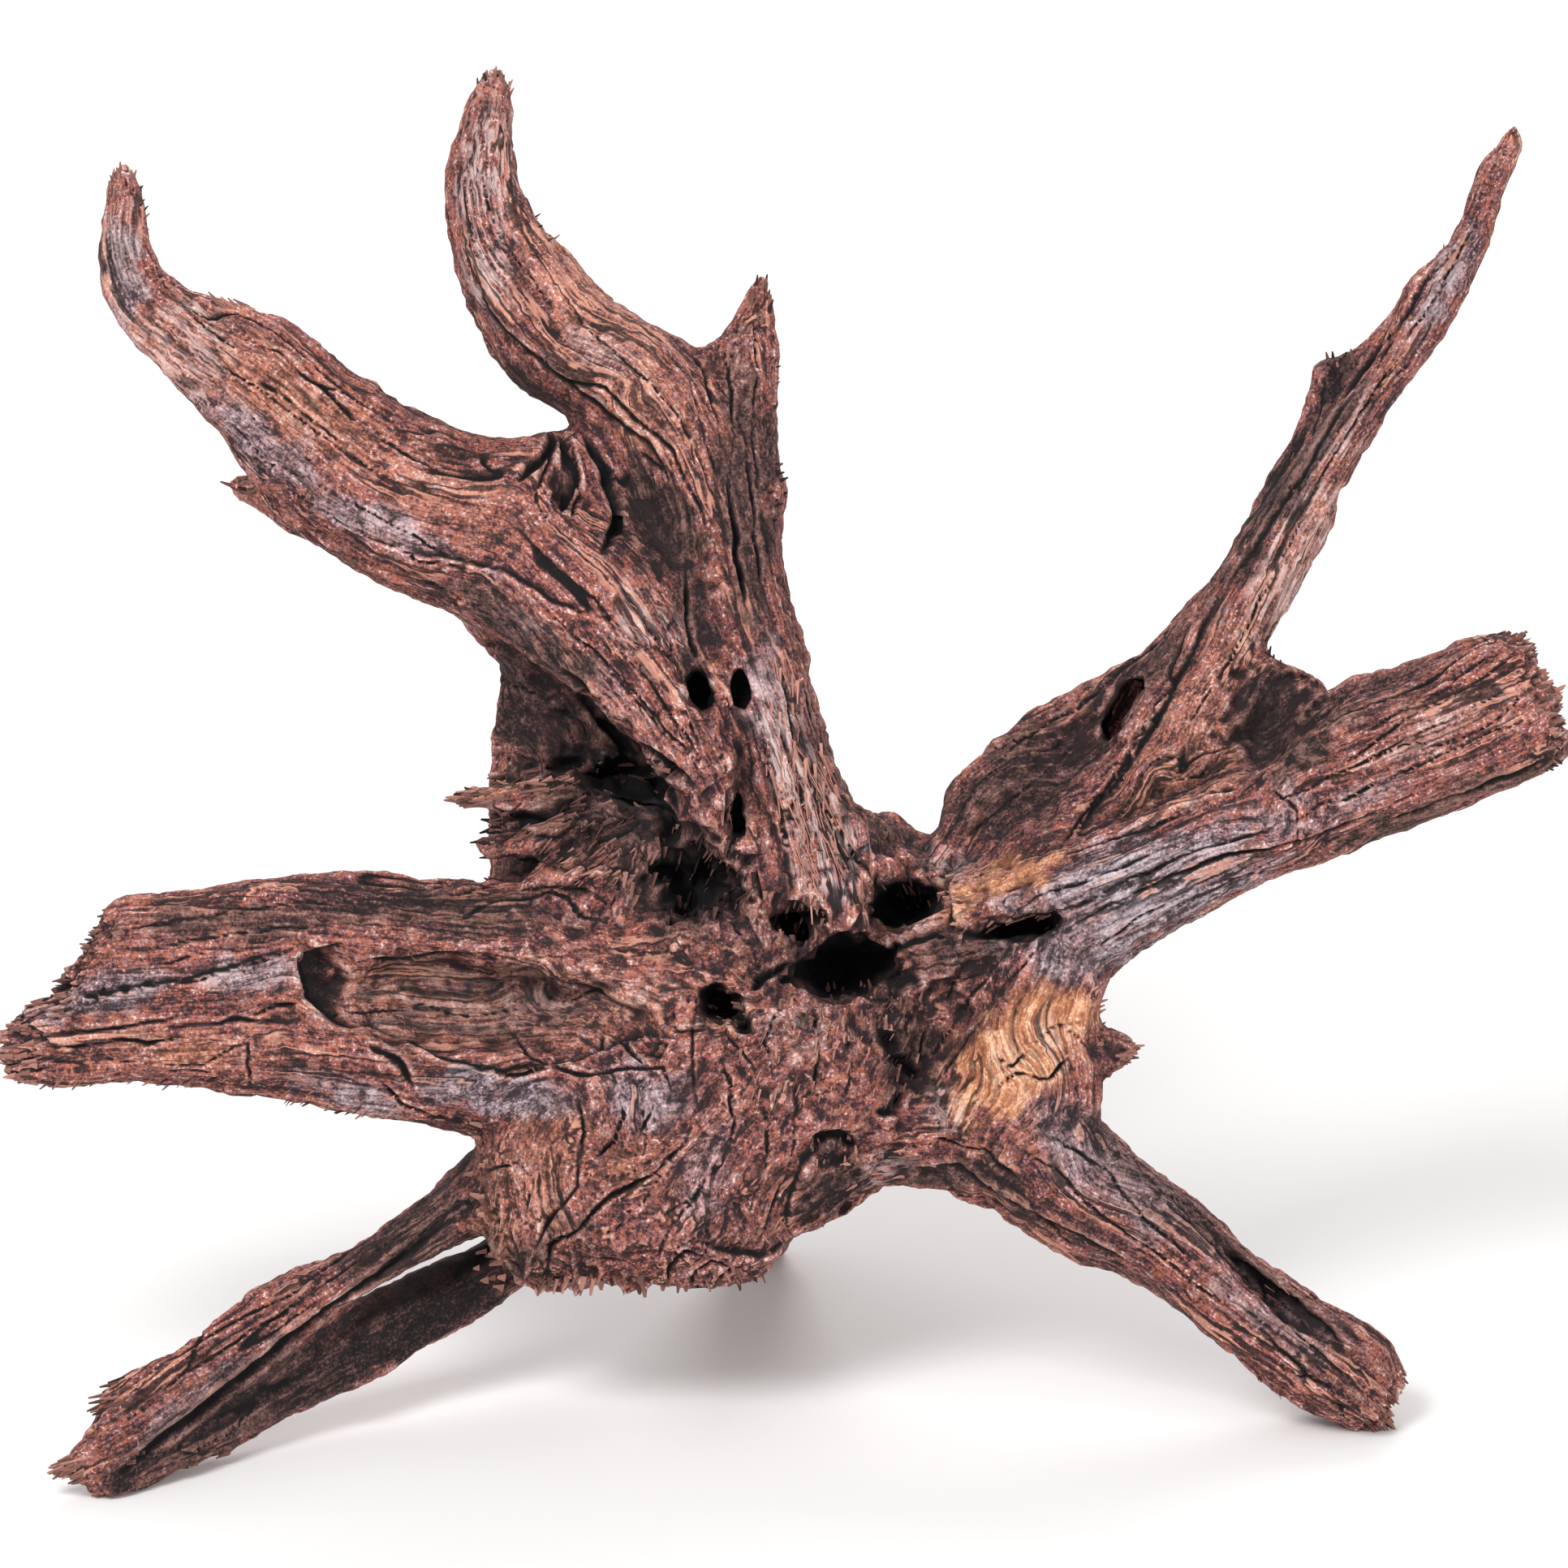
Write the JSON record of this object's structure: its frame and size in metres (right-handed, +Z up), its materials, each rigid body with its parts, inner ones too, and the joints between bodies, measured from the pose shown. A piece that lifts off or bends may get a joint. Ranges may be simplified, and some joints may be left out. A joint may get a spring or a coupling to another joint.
{
  "type": "driftwood branch",
  "caption": "Weathered root driftwood with curling horns, a broken slab limb, forked right limbs and splayed legs that stand it up.",
  "frame": {"origin": "centre of the bounding box in plan, on the ground under the three feet", "axes": "+X to the right as seen from the front, +Y away from the viewer, +Z up"},
  "size_m": [0.4778, 0.2558, 0.385],
  "materials": {
    "wood": "weathered, matt, bare"
  },
  "bodies": {
    "root": {"driftwood": "wood"}
  },
  "joints": []
}
